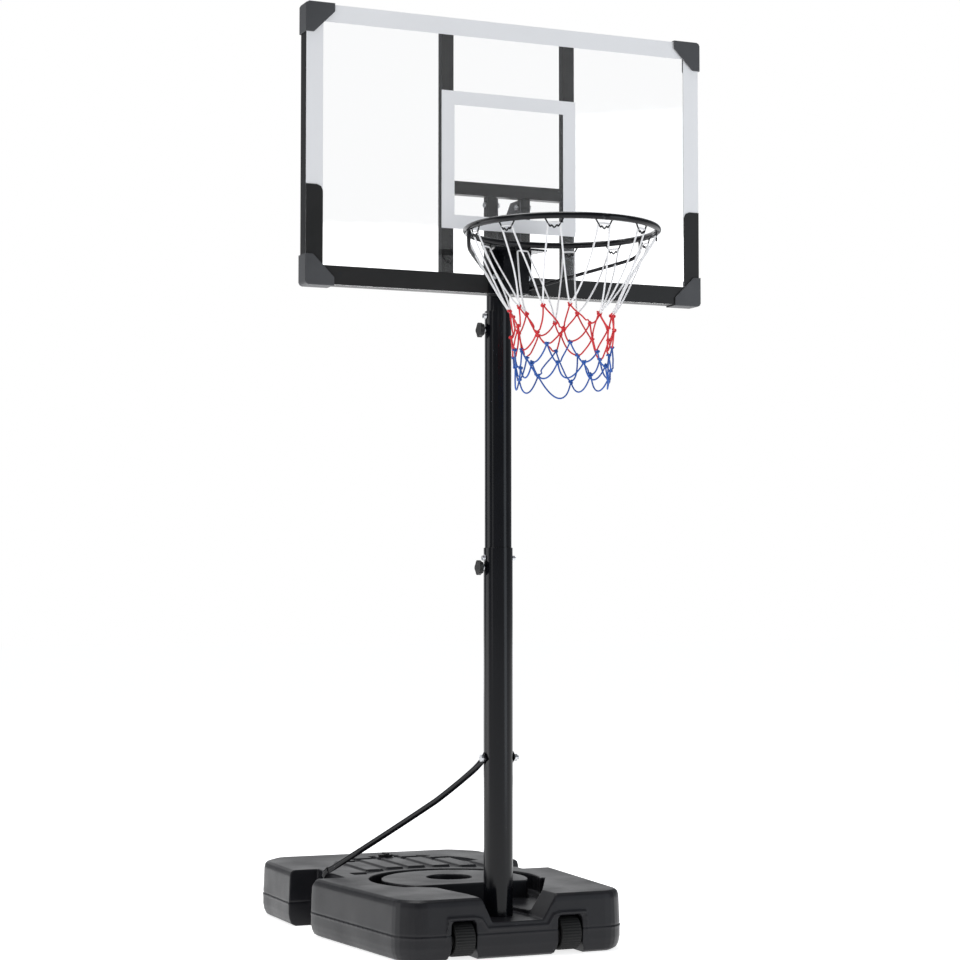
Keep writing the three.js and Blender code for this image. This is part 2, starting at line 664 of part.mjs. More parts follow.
for (const [name, side] of SIDES) {
  add(`wheel_${name}`, rubber, wheel(side));
  add(`strut_${name}`, blackSteel, strut(side));
  add(`strut_foot_bolt_${name}`, silver, strutFootBolt(side));
  add(`side_rail_${name}`, frameSteel, sideRail(side));
  add(`upright_bar_${name}`, frameSteel, uprightBar(side));
  add(`short_bar_${name}`, frameSteel, shortBar(side));
  add(`bracket_plate_${name}`, frameSteel, bracketPlate(side));
  add(`bar_bolt_${name}`, silver, barBolt(side));
  add(`side_trim_${name}`, blackPlastic, sideTrim(side));
  add(`corner_guard_top_${name}`, greyPlastic, cornerGuard(side, true));
  add(`corner_guard_bottom_${name}`, greyPlastic, cornerGuard(side, false));
  add(`rim_brace_${name}`, blackSteel, rimBrace(side));
  add(`dome_nut_${name}`, silver, domeNut(side));
}

add('top_rail', frameSteel, levelRail(BOARD.z1 - RAIL.w, BOARD.z1));
add('bottom_rail', frameSteel, levelRail(BOARD.z0, BOARD.z0 + RAIL.w));
add('cross_bar', frameSteel, crossBar());
add('board_panel', clear, panel());
add('bottom_trim', blackPlastic, bottomTrim());
add('rim_ring', blackSteel, rimRing());
add('rim_shelf', blackSteel, rimShelf());
add('rim_box', blackSteel, rimBox());
add('rim_back_plate', blackSteel, rimBackPlate());
add('net', netCord, net());

export default hoop;
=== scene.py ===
"""A portable basketball hoop: the looks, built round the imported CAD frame. Metres, +Z up, hoop facing -Y."""
import json
import math

import bmesh
import bpy
import numpy as np
from mathutils import Matrix, Vector


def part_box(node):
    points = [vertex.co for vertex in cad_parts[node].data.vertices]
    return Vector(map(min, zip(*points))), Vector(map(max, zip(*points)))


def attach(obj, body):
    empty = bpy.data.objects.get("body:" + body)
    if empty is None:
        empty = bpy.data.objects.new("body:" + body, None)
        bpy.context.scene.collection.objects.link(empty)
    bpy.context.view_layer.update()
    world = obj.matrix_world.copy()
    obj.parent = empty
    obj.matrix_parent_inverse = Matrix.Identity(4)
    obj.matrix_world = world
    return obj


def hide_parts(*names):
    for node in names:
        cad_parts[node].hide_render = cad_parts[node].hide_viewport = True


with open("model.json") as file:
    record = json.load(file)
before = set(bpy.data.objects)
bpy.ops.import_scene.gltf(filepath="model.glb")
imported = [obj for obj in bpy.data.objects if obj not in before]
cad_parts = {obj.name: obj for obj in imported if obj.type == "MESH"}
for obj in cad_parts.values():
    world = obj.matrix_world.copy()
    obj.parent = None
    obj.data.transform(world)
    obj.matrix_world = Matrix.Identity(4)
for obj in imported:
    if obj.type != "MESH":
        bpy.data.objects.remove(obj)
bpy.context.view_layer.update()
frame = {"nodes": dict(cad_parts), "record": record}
nodes = frame["nodes"]
MM = 0.001
SIDES = (("left", -1), ("right", 1))


# ---- camera, lights and stage ----
CAMERA_DISTANCE = 6.011
CAMERA_AZIMUTH = math.radians(23.99)      # from straight in front, towards -X
CAMERA_HEIGHT = 0.902
CAMERA_HEADING = math.radians(23.54)
CAMERA_PITCH = math.radians(3.02)
CAMERA_LENS = 86.37


def make_camera():
    data = bpy.data.cameras.new("camera")
    data.lens = CAMERA_LENS
    data.clip_end = 100
    camera = bpy.data.objects.new("camera", data)
    camera.location = (
        -math.sin(CAMERA_AZIMUTH) * CAMERA_DISTANCE,
        -math.cos(CAMERA_AZIMUTH) * CAMERA_DISTANCE,
        CAMERA_HEIGHT,
    )
    camera.rotation_euler = (math.pi / 2 + CAMERA_PITCH, 0, -CAMERA_HEADING)
    bpy.context.scene.collection.objects.link(camera)
    bpy.context.scene.camera = camera


def soft_light(name, place, target, size, power, color=(1, 1, 1)):
    data = bpy.data.lights.new(name, "AREA")
    data.color = color
    data.shape = "RECTANGLE"
    data.size, data.size_y = size
    data.energy = power
    light = bpy.data.objects.new(name, data)
    light.location = place
    light.visible_camera = False
    light.rotation_euler = (Vector(target) - Vector(place)).to_track_quat("-Z", "Y").to_euler()
    bpy.context.scene.collection.objects.link(light)


def make_lights():
    middle = (0, 0, 1.1)
    soft_light("key", (-4.4, -1.6, 2.4), middle, (0.8, 3.6), 11)
    soft_light("strip_right", (3.4, -4.2, 1.6), middle, (2.2, 3.4), 42, (0.84, 0.92, 1.0))
    soft_light("strip_left", (-4.4, 2.0, 1.6), middle, (2.4, 3.4), 44)
    soft_light("top", (-0.4, 0.6, 4.8), (0, 0.4, 0), (2.6, 2.6), 120)
    soft_light("back", (0.9, 5.5, 1.6), (0, 0.6, 0.2), (4.8, 2.4), 23)


def math_node(tree, operation, first, second):
    """A math node's output. second may be a number or another output."""
    node = tree.nodes.new("ShaderNodeMath")
    node.operation = operation
    tree.links.new(first, node.inputs[0])
    if isinstance(second, (int, float)):
        node.inputs[1].default_value = second
    else:
        tree.links.new(second, node.inputs[1])
    return node.outputs[0]


REFLECTED_GREY = 0.24


def make_world():
    """White behind all that the camera sees, also through the clear panel, and a dim grey in reflections."""
    world = bpy.data.worlds.new("studio")
    bpy.context.scene.world = world
    world.use_nodes = True
    tree = world.node_tree
    tree.nodes.clear()
    output = tree.nodes.new("ShaderNodeOutputWorld")
    mix = tree.nodes.new("ShaderNodeMixShader")
    path = tree.nodes.new("ShaderNodeLightPath")
    fill = tree.nodes.new("ShaderNodeBackground")
    fill.inputs["Color"].default_value = (0.92, 0.95, 1.0, 1)
    fill.inputs["Strength"].default_value = REFLECTED_GREY
    seen = tree.nodes.new("ShaderNodeBackground")
    seen.inputs["Color"].default_value = (1, 1, 1, 1)
    seen.inputs["Strength"].default_value = 1.0
    white = math_node(tree, "MAXIMUM", path.outputs["Is Camera Ray"], path.outputs["Is Transmission Ray"])
    tree.links.new(white, mix.inputs["Fac"])
    tree.links.new(fill.outputs[0], mix.inputs[1])
    tree.links.new(seen.outputs[0], mix.inputs[2])
    tree.links.new(mix.outputs[0], output.inputs["Surface"])
    bpy.context.scene.view_settings.view_transform = "Standard"


FLOOR_GLOW = 0.79                         # lifts the floor to the white of the world behind it


def make_floor():
    mesh = bpy.data.meshes.new("floor")
    reach = 40
    corners = [(-reach, -reach, 0), (reach, -reach, 0), (reach, reach, 0), (-reach, reach, 0)]
    mesh.from_pydata(corners, [], [(0, 1, 2, 3)])
    floor = bpy.data.objects.new("floor", mesh)
    bpy.context.scene.collection.objects.link(floor)
    material, shader = principled("floor_paint", (0.93, 0.93, 0.93), 0.7)
    shader.inputs["Emission Color"].default_value = (1, 1, 1, 1)
    shader.inputs["Emission Strength"].default_value = FLOOR_GLOW
    mesh.materials.append(material)


# ---- materials ----
class Tree:
    """Short names for adding and joining the nodes of one material."""

    def __init__(self, material):
        self.tree = material.node_tree
        self.shader = self.tree.nodes["Principled BSDF"]

    def add(self, kind, **values):
        node = self.tree.nodes.new("ShaderNode" + kind)
        for name, value in values.items():
            if hasattr(node, name):
                setattr(node, name, value)
            else:
                node.inputs[name.replace("_", " ")].default_value = value
        return node

    def link(self, source, target):
        self.tree.links.new(source, target)

    def noise(self, scale, detail, stretch=(1, 1, 1)):
        place = self.add("TexCoord")
        mapping = self.add("Mapping")
        mapping.inputs["Scale"].default_value = stretch
        texture = self.add("TexNoise", Scale=scale, Detail=detail, Roughness=0.55)
        self.link(place.outputs["Object"], mapping.inputs["Vector"])
        self.link(mapping.outputs["Vector"], texture.inputs["Vector"])
        return texture.outputs["Fac"]

    def ramp(self, factor, low, high, start=0.3, stop=0.7):
        ramp = self.add("ValToRGB")
        ramp.color_ramp.elements[0].position = start
        ramp.color_ramp.elements[1].position = stop
        ramp.color_ramp.elements[0].color = (*low, 1)
        ramp.color_ramp.elements[1].color = (*high, 1)
        self.link(factor, ramp.inputs["Fac"])
        return ramp.outputs["Color"]

    def spread(self, factor, low, high, start=0.3, stop=0.7):
        span = self.add("MapRange")
        span.inputs["From Min"].default_value = start
        span.inputs["From Max"].default_value = stop
        span.inputs["To Min"].default_value = low
        span.inputs["To Max"].default_value = high
        self.link(factor, span.inputs["Value"])
        return span.outputs["Result"]

    def bump(self, heights, strength, distance):
        """Bumps from one or more height fields, finest last."""
        normal = None
        for height, share in heights:
            bump = self.add("Bump")
            bump.inputs["Strength"].default_value = strength * share
            bump.inputs["Distance"].default_value = distance
            self.link(height, bump.inputs["Height"])
            if normal is not None:
                self.link(normal, bump.inputs["Normal"])
            normal = bump.outputs["Normal"]
        self.link(normal, self.shader.inputs["Normal"])


def principled(name, color, roughness, metallic=0.0):
    material = bpy.data.materials.new(name)
    material.use_nodes = True
    shader = material.node_tree.nodes["Principled BSDF"]
    shader.inputs["Base Color"].default_value = (*color, 1)
    shader.inputs["Roughness"].default_value = roughness
    shader.inputs["Metallic"].default_value = metallic
    return material, shader


def moulded(name, dark, light, rough, grain, bump_mm, gloss):
    """Moulded plastic: a slow change of colour and gloss, a fine grain and faint sink marks."""
    material, shader = principled(name, dark, sum(rough) / 2)
    shader.inputs["Specular IOR Level"].default_value = gloss
    tree = Tree(material)
    slow = tree.noise(7, 3)
    fine = tree.noise(grain, 2)
    tree.link(tree.ramp(slow, dark, light), shader.inputs["Base Color"])
    tree.link(tree.spread(slow, *rough), shader.inputs["Roughness"])
    tree.bump([(slow, 1.0), (fine, 0.5)], 0.35, bump_mm * MM)
    return material


def coated_steel(name, dark, light, rough, peel_mm, gloss):
    """Powder-coated steel with a faint orange peel. gloss is the shader's specular level."""
    material, shader = principled(name, dark, sum(rough) / 2)
    tree = Tree(material)
    slow = tree.noise(5, 4)
    peel = tree.noise(420, 2)
    tree.link(tree.ramp(slow, dark, light), shader.inputs["Base Color"])
    tree.link(tree.spread(slow, *rough), shader.inputs["Roughness"])
    tree.bump([(peel, 1.0)], 0.06, peel_mm * MM)
    shader.inputs["Specular IOR Level"].default_value = gloss
    return material


def zinc_plate(name):
    material, shader = principled(name, (0.66, 0.67, 0.69), 0.3, 1.0)
    tree = Tree(material)
    cloud = tree.noise(160, 5)
    tree.link(tree.ramp(cloud, (0.50, 0.51, 0.53), (0.78, 0.79, 0.81)), shader.inputs["Base Color"])
    tree.link(tree.spread(cloud, 0.18, 0.42), shader.inputs["Roughness"])
    return material


def clear_sheet(name):
    """Clear polycarbonate, with faint wipe marks in its gloss."""
    material, shader = principled(name, (0.985, 0.99, 0.995), 0.03)
    tree = Tree(material)
    marks = tree.noise(14, 5, stretch=(1, 1, 4))
    tree.link(tree.spread(marks, 0.01, 0.06), shader.inputs["Roughness"])
    shader.inputs["Transmission Weight"].default_value = 1.0
    shader.inputs["IOR"].default_value = 1.45
    shader.inputs["Specular IOR Level"].default_value = 0.1
    return material


def printed_ink(name):
    material, shader = principled(name, (0.90, 0.905, 0.93), 0.38)
    tree = Tree(material)
    cloud = tree.noise(3, 4)
    tree.link(tree.ramp(cloud, (0.855, 0.86, 0.875), (0.885, 0.89, 0.905)), shader.inputs["Base Color"])
    tree.link(tree.spread(tree.noise(60, 3), 0.32, 0.44), shader.inputs["Roughness"])
    return material


def braided_cord(name, dark, light):
    """Braided polyester: two crossing sets of yarns round the cord, from its length and girth."""
    material, shader = principled(name, light, 0.8)
    tree = Tree(material)
    place = tree.add("UVMap")
    split = tree.add("SeparateXYZ")
    tree.link(place.outputs["UV"], split.inputs["Vector"])
    yarns = []
    for lean in ("SUBTRACT", "ADD"):
        leaning = math_node(tree.tree, lean, split.outputs["Y"], split.outputs["X"])
        angle = math_node(tree.tree, "MULTIPLY", leaning, 8 * math.pi)
        yarns.append(math_node(tree.tree, "SINE", angle, 0))
    braid = math_node(tree.tree, "MAXIMUM", *yarns)
    height = tree.spread(braid, 0, 1, -0.4, 1)
    tree.link(tree.ramp(height, dark, light, 0.0, 0.8), shader.inputs["Base Color"])
    tree.bump([(height, 1.0)], 0.6, 0.4 * MM)
    shader.inputs["Sheen Weight"].default_value = 0.25
    shader.inputs["Sheen Roughness"].default_value = 0.5
    return material


def grey(*shades):
    return [(shade, shade, shade) for shade in shades]


# Dark and light colour, roughness range, scale of the grain, bump in mm, and specular level.
PLASTICS = {
    "tank_plastic": ((0.0085, 0.0085, 0.0105), (0.013, 0.013, 0.0155), (0.30, 0.44), 700, 0.9, 0.26),
    "black_plastic": (*grey(0.011, 0.016), (0.38, 0.52), 1400, 0.2, 0.3),
    "guard_plastic": ((0.060, 0.062, 0.066), (0.078, 0.080, 0.085), (0.42, 0.55), 1500, 0.2, 0.3),
    "wheel_rubber": (*grey(0.006, 0.010), (0.55, 0.70), 1100, 0.3, 0.3),
    "seal_rubber": (*grey(0.012, 0.018), (0.6, 0.75), 1100, 0.2, 0.3),
}
# Dark and light colour, roughness range, orange peel in mm, and specular level.
COATINGS = {
    "gloss_black_steel": ((0.0030, 0.0033, 0.0046), (0.0045, 0.005, 0.007), (0.13, 0.19), 0.05, 0.26),
    "frame_steel": ((0.007, 0.007, 0.0075), (0.010, 0.010, 0.0105), (0.30, 0.42), 0.08, 0.25),
    "bracket_steel": ((0.050, 0.050, 0.056), (0.070, 0.070, 0.078), (0.34, 0.46), 0.08, 0.4),
}
# Dark and light colour of each cord.
CORDS = {
    "net_white": ((0.66, 0.66, 0.68), (0.95, 0.95, 0.96)),
    "net_red": ((0.42, 0.006, 0.012), (0.80, 0.012, 0.022)),
    "net_blue": ((0.004, 0.050, 0.25), (0.009, 0.118, 0.52)),
}


def make_materials():
    made = {name: moulded(name, *look) for name, look in PLASTICS.items()}
    made.update({name: coated_steel(name, *look) for name, look in COATINGS.items()})
    made.update({name: braided_cord(name, *look) for name, look in CORDS.items()})
    made["zinc_steel"] = zinc_plate("zinc_steel")
    made["clear_panel"] = clear_sheet("clear_panel")
    made["board_print"] = printed_ink("board_print")
    return made


# ---- mesh helpers ----
def mesh_object(name, vertices, faces, material, body, smooth=True, uv=None):
    mesh = bpy.data.meshes.new(name)
    mesh.from_pydata([tuple(v) for v in vertices], [], faces)
    mesh.validate()
    if uv is not None:
        layer = mesh.uv_layers.new(name="UVMap")
        layer.data.foreach_set("uv", np.asarray(uv, np.float32).ravel())
    piece = bpy.data.objects.new(name, mesh)
    bpy.context.scene.collection.objects.link(piece)
    finish_piece(piece, material, body, smooth)
    return piece


def finish_piece(piece, material, body, smooth=True):
    piece.data.materials.clear()
    piece.data.materials.append(material)
    piece.data.polygons.foreach_set("use_smooth", [smooth] * len(piece.data.polygons))
    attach(piece, body)


def smooth_path(points, steps):
    """A Catmull-Rom line through the points, with the given number of steps in each stretch."""
    p = np.asarray(points, float)
    p = np.vstack([2 * p[0] - p[1], p, 2 * p[-1] - p[-2]])
    line = []
    for i in range(1, len(p) - 2):
        for t in np.arange(steps) / steps:
            a = 2 * p[i]
            b = (p[i + 1] - p[i - 1]) * t
            c = (2 * p[i - 1] - 5 * p[i] + 4 * p[i + 1] - p[i + 2]) * t**2
            d = (3 * p[i] - p[i - 1] - 3 * p[i + 1] + p[i + 2]) * t**3
            line.append((a + b + c + d) / 2)
    line.append(p[-2])
    return np.array(line)


def frames_along(line):
    """Two unit vectors across the line at each point, carried along it without twist."""
    tangent = np.gradient(line, axis=0)
    tangent /= np.linalg.norm(tangent, axis=1)[:, None]
    across = np.zeros_like(line)
    start = np.cross(tangent[0], (0, 0, 1))
    if np.linalg.norm(start) < 0.1:
        start = np.cross(tangent[0], (1, 0, 0))
    across[0] = start / np.linalg.norm(start)
    for i in range(1, len(line)):
        carried = across[i - 1] - tangent[i] * across[i - 1].dot(tangent[i])
        across[i] = carried / np.linalg.norm(carried)
    return across, np.cross(tangent, across)


class Tubes:
    """Collects tubes into one mesh, with u round the tube and v along it."""

    TURNS_PER_RADIUS = 0.25

    def __init__(self):
        self.vertices, self.faces, self.uv, self.count = [], [], [], 0

    def add(self, line, radius, sides=8):
        line = np.asarray(line, float)
        u, v = frames_along(line)
        angle = 2 * np.pi * np.arange(sides) / sides
        ring = np.cos(angle)[None, :, None] * u[:, None] + np.sin(angle)[None, :, None] * v[:, None]
        self.vertices.append((line[:, None] + radius * ring).reshape(-1, 3))
        steps = np.r_[0, np.cumsum(np.linalg.norm(np.diff(line, axis=0), axis=1))]
        along = steps * self.TURNS_PER_RADIUS / radius
        first = self.count
        for i in range(len(line) - 1):
            for k in range(sides):
                a, b = first + i * sides + k, first + i * sides + (k + 1) % sides
                self.faces.append((a, b, b + sides, a + sides))
                u0, u1 = k / sides, (k + 1) / sides
                self.uv += [(u0, along[i]), (u1, along[i]), (u1, along[i + 1]), (u0, along[i + 1])]
        for end, order in ((0, -1), (len(line) - 1, 1)):
            loop = [first + end * sides + k for k in range(sides)][::order]
            self.faces.append(tuple(loop))
            self.uv += [(0.5, along[end])] * sides
        self.count += len(line) * sides

    def build(self, name, material, body, slot):
        return mesh_object(name, np.vstack(self.vertices), self.faces, material, body, uv=self.uv)


def turned_piece(name, profile, sides, material, body, centre):
    """A closed profile of (radius, distance along X) pairs turned about the X axis through centre."""
    profile = np.asarray(profile, float)
    angle = 2 * np.pi * np.arange(sides) / sides
    y = profile[None, :, 0] * np.cos(angle)[:, None]
    z = profile[None, :, 0] * np.sin(angle)[:, None]
    x = np.broadcast_to(profile[None, :, 1], y.shape)
    vertices = np.stack((x, y, z), -1).reshape(-1, 3) + np.asarray(centre)
    n = len(profile)
    faces = [
        (i * n + k, ((i + 1) % sides) * n + k, ((i + 1) % sides) * n + (k + 1) % n, i * n + (k + 1) % n)
        for i in range(sides)
        for k in range(n)
    ]
    piece = mesh_object(name, vertices, faces, material, body)
    face_out(piece)
    return piece


def face_out(piece):
    work = bmesh.new()
    work.from_mesh(piece.data)
    bmesh.ops.remove_doubles(work, verts=work.verts, dist=1e-6)
    bmesh.ops.recalc_face_normals(work, faces=work.faces)
    work.to_mesh(piece.data)
    work.free()


def rounded_profile(corners, radius):
    """Each corner of a closed profile becomes a short curve, no longer than its sides allow."""
    p = np.asarray(corners, float)
    out = []
    for i, corner in enumerate(p):
        before, after = p[i - 1] - corner, p[(i + 1) % len(p)] - corner
        reach = min(radius, 0.45 * np.linalg.norm(before), 0.45 * np.linalg.norm(after))
        start = corner + before / np.linalg.norm(before) * reach
        end = corner + after / np.linalg.norm(after) * reach
        for t in np.linspace(0, 1, 4):
            out.append((1 - t) ** 2 * start + 2 * t * (1 - t) * corner + t**2 * end)
    return out


def bevelled(piece, width, segments):
    """Welds a piece's split corners, rounds its edges and smooths the rest."""
    weld = piece.modifiers.new("weld", "WELD")
    weld.merge_threshold = 2e-5
    bevel = piece.modifiers.new("bevel", "BEVEL")
    bevel.width = width
    bevel.segments = segments
    bevel.limit_method = "ANGLE"
    bevel.angle_limit = math.radians(28)
    bevel.use_clamp_overlap = True
    normals = piece.modifiers.new("normals", "WEIGHTED_NORMAL")
    normals.keep_sharp = False
    piece.data.polygons.foreach_set("use_smooth", [True] * len(piece.data.polygons))


def copy_of(node, name):
    piece = bpy.data.objects.new(name, nodes[node].data.copy())
    bpy.context.scene.collection.objects.link(piece)
    return piece


# ---- base ----
def make_base(materials):
    """The tank's CAD shape, remeshed and smoothed so that its edges are the soft ones of blow moulding."""
    piece = copy_of("base_tank", "tank_shell")
    voxel = 0.0024
    face_out(piece)
    remesh = piece.modifiers.new("remesh", "REMESH")
    remesh.mode = "VOXEL"
    remesh.voxel_size = voxel
    smooth = piece.modifiers.new("smooth", "SMOOTH")
    smooth.factor = 0.5
    smooth.iterations = 2
    apply_modifiers(piece)
    press_seam(piece)
    finish_piece(piece, materials["tank_plastic"], "base")
    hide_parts("base_tank")


def apply_modifiers(piece):
    graph = bpy.context.evaluated_depsgraph_get()
    mesh = bpy.data.meshes.new_from_object(piece.evaluated_get(graph))
    old = piece.data
    piece.modifiers.clear()
    piece.data = mesh
    bpy.data.meshes.remove(old)


SEAM = {"height": 66 * MM, "half_width": 3.2 * MM, "depth": 1.6 * MM}


def press_seam(piece):
    """The parting line round the tank: a shallow groove where its two mould halves met."""
    mesh = piece.data
    count = len(mesh.vertices)
    place = np.zeros(count * 3, np.float32)
    mesh.vertices.foreach_get("co", place)
    place = place.reshape(-1, 3)
    normal = np.zeros(count * 3, np.float32)
    mesh.vertex_normals.foreach_get("vector", normal)
    normal = normal.reshape(-1, 3)
    off = np.abs(place[:, 2] - SEAM["height"])
    on_wall = np.abs(normal[:, 2]) < 0.35
    depth = np.where(on_wall, np.clip(1 - off / SEAM["half_width"], 0, 1), 0) * SEAM["depth"]
    mesh.vertices.foreach_set("co", (place - normal * depth[:, None]).ravel())
    mesh.update()


def make_wheels(materials):
    """Wheels with fine ribs across the tread, a raised rim and a hub."""
    for name, _ in SIDES:
        low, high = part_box(f"wheel_{name}")
        centre = (low + high) / 2
        radius, half = (high.z - low.z) / 2, (high.x - low.x) / 2
        bore = 5.4 * MM
        profile = [
            (bore, -half), (13 * MM, -half), (15 * MM, -half + 6 * MM), (32 * MM, -half + 6 * MM),
            (34 * MM, -half), (radius - 2 * MM, -half), (radius - 2 * MM, half), (34 * MM, half),
            (32 * MM, half - 6 * MM), (15 * MM, half - 6 * MM), (13 * MM, half), (bore, half),
        ]
        profile = rounded_profile(profile, 2.5 * MM)
        sides = 144
        piece = turned_piece(
            f"tyre_{name}", profile, sides, materials["wheel_rubber"], f"wheel_{name}",
            centre)
        ribbed(piece, centre, radius, half, sides)
        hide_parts(f"wheel_{name}")


def ribbed(piece, centre, radius, half, sides):
    """Raises every other stretch of the tread by 2 mm, leaving plain shoulders."""
    for vertex in piece.data.vertices:
        offset = vertex.co - centre
        reach = math.hypot(offset.y, offset.z)
        if reach < radius - 3 * MM or abs(offset.x) > half - 1.5 * MM:
            continue
        step = round(math.atan2(offset.z, offset.y) / (2 * math.pi) * sides)
        if step % 4 < 2:
            grow = radius / reach
            vertex.co = centre + Vector((offset.x, offset.y * grow, offset.z * grow))


# ---- board ----
PRINT_EDGE = 45 * MM
PRINT_LIFT = 0.12 * MM
PRINT_THICK = 0.15 * MM
TARGET = {"half": 191 * MM, "low": 1860 * MM, "high": 2218 * MM, "line": 36 * MM}


def printed_frame(name, outer, inner, front, materials):
    """A thin rectangular frame of ink in front of the panel. outer and inner are (x0, x1, z0, z1)."""
    corners = []
    for y in (front - PRINT_THICK, front):
        for x0, x1, z0, z1 in (outer, inner):
            corners += [(x0, y, z0), (x1, y, z0), (x1, y, z1), (x0, y, z1)]
    faces = []
    for k in range(4):
        n = (k + 1) % 4
        faces.append((k, n, 4 + n, 4 + k))
        faces.append((8 + n, 8 + k, 12 + k, 12 + n))
        faces.append((n, k, 8 + k, 8 + n))
        faces.append((4 + k, 4 + n, 12 + n, 12 + k))
    piece = mesh_object(
        name, corners, faces, materials["board_print"], "upper_pole", smooth=False)
    face_out(piece)
    return piece


def make_board(materials):
    low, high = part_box("board_panel")
    front = low.y - PRINT_LIFT
    edge = PRINT_EDGE
    printed_frame(
        "border_print",
        (low.x, high.x, low.z, high.z),
        (low.x + edge, high.x - edge, low.z + edge, high.z - edge),
        front, materials)
    half, line = TARGET["half"], TARGET["line"]
    printed_frame(
        "target_print",
        (-half, half, TARGET["low"], TARGET["high"]),
        (-half + line, half - line, TARGET["low"] + line, TARGET["high"] - line),
        front, materials)


# ---- rim ----
HOOKS = 12


def rim_facts():
    """The ring's centre, its rod's centreline radius and its rod's radius, from the CAD node's box."""
    low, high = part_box("rim_ring")
    rod = 8 * MM
    centre = Vector(((low.x + high.x) / 2, (low.y + high.y) / 2, high.z - rod))
    return centre, (high.x - low.x) / 2 - rod, rod


def on_ring(turn, radius, z):
    centre, _, _ = rim_facts()
    return np.array((centre.x + radius * math.sin(turn), centre.y - radius * math.cos(turn), z))


def hook_turn(i):
    return 2 * math.pi * i / HOOKS


HOOK_WIRE = 1.9 * MM                      # the wire's radius
HOOK_LINE = [(24, 3), (17, 15), (12, 23), (9.5, 26), (7, 23), (4, 25.5), (0, 29)]     # along, drop in mm


def make_rim(materials):
    centre, radius, rod = rim_facts()
    tubes = Tubes()
    around = np.linspace(0, 2 * np.pi, 145)
    ring = np.array([on_ring(t, radius, centre.z) for t in around])
    tubes.add(ring, rod, sides=20)
    for i in range(HOOKS):
        half = [(a * MM, d * MM) for a, d in HOOK_LINE]
        wire = half + [(-a, d) for a, d in reversed(half[:-1])]
        at = radius - 3 * MM
        line = [on_ring(hook_turn(i) + a / at, at, centre.z - d) for a, d in wire]
        tubes.add(smooth_path(line, 4), HOOK_WIRE)
    piece = tubes.build("ring_and_hooks", materials["gloss_black_steel"], "upper_pole", "gloss_black_steel")
    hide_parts("rim_ring")


def make_braces(materials):
    """The two round brace rods, bent down from the ring and then straight to the bracket."""
    route = [(234.3, -355.7, 1808.4), (234.8, -355, 1796), (234.5, -351, 1783), (227, -336, 1770),
             (206, -304, 1761), (130, -205, 1738), (60, -120, 1716), (42, -100, 1710)]
    for name, side in SIDES:
        tubes = Tubes()
        line = np.array([(side * x, y, z) for x, y, z in route]) * MM
        tubes.add(smooth_path(line, 8), 4.5 * MM, sides=14)
        piece = tubes.build(
            f"brace_rod_{name}", materials["gloss_black_steel"], "upper_pole", "gloss_black_steel")
        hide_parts(f"rim_brace_{name}")


# ---- net ----
CORD = 2.2 * MM                           # the white cord's radius
MESH_CORD = 0.92                          # the red and blue cords' radius, as a share of it
KNOT = 5.2 * MM
LOOP = {"foot": 15 * MM, "top": 10 * MM, "drop": 20 * MM, "lift": 3 * MM}     # a white cord over its hook
NET_ROWS = [(205, 131), (254, 127), (298, 124), (350, 121)]      # drop and radius of each row of knots, mm
NET_SHADES = ["red", "red", "blue", "blue"]
BOTTOM_SLACK = 0.6


def net_noise(seed, size):
    return np.random.default_rng(seed).uniform(-1, 1, size)


def net_knots():
    """The knots of each row: their places, a little uneven, as a worn-in net hangs."""
    centre, _, _ = rim_facts()
    rows = []
    for row, (drop, radius) in enumerate(NET_ROWS):
        shift = 0.5 if row % 2 == 0 else 0.0
        uneven = net_noise(40 + row, (HOOKS, 3))
        knots = []
        for i in range(HOOKS):
            turn = 2 * math.pi * (i + shift) / HOOKS + 0.11 * uneven[i, 0]
            out = (radius + 6 * uneven[i, 1]) * MM
            z = centre.z - (drop + 15 * uneven[i, 2]) * MM
            knots.append(on_ring(turn, out, z))
        rows.append(knots)
    return rows


def hung(start, end, slack, seed, count=15, droop=0.0):
    """A stiff cord between two points, longer than the gap. It bows sideways, and droop bows it down."""
    start, end = np.asarray(start, float), np.asarray(end, float)
    length = np.linalg.norm(end - start) * (1 + slack)
    bow = net_noise(seed, 3) * (0.5 if droop else 1.0) - np.array((0, 0, droop))
    along = np.linspace(0, 1, count)[:, None]
    line = start + (end - start) * along
    line += np.sin(np.pi * along) * bow * length * math.sqrt(slack) * 0.5
    rest = length / (count - 1)
    for _ in range(220):
        bend = np.zeros_like(line)
        bend[1:-1] = (line[:-2] + line[2:]) / 2 - line[1:-1]
        bend[2:-2] = bend[2:-2] * 0.5
        line[1:-1] += 0.25 * bend[1:-1]
        line[1:-1, 2] -= 0.00004
        for _ in range(6):
            step = line[1:] - line[:-1]
            size = np.linalg.norm(step, axis=1)[:, None]
            fix = 0.5 * step * (1 - rest / size)
            line[:-1] += fix
            line[1:] -= fix
            line[0], line[-1] = start, end
    return line


def knot_line(centre, size, seed):
    """A trefoil turned at random, which reads as a tied knot."""
    turn = np.linspace(0, 2 * np.pi, 37)
    x = np.sin(turn) + 2 * np.sin(2 * turn)
    y = np.cos(turn) - 2 * np.cos(2 * turn)
    z = -np.sin(3 * turn)
    points = np.stack((x, y, z), 1) * size / 3
    spin = net_noise(seed, 3) * math.pi
    tilt = Matrix.Rotation(spin[0], 3, "X") @ Matrix.Rotation(spin[1], 3, "Z")
    return np.array([tilt @ Vector(p) for p in points]) + centre


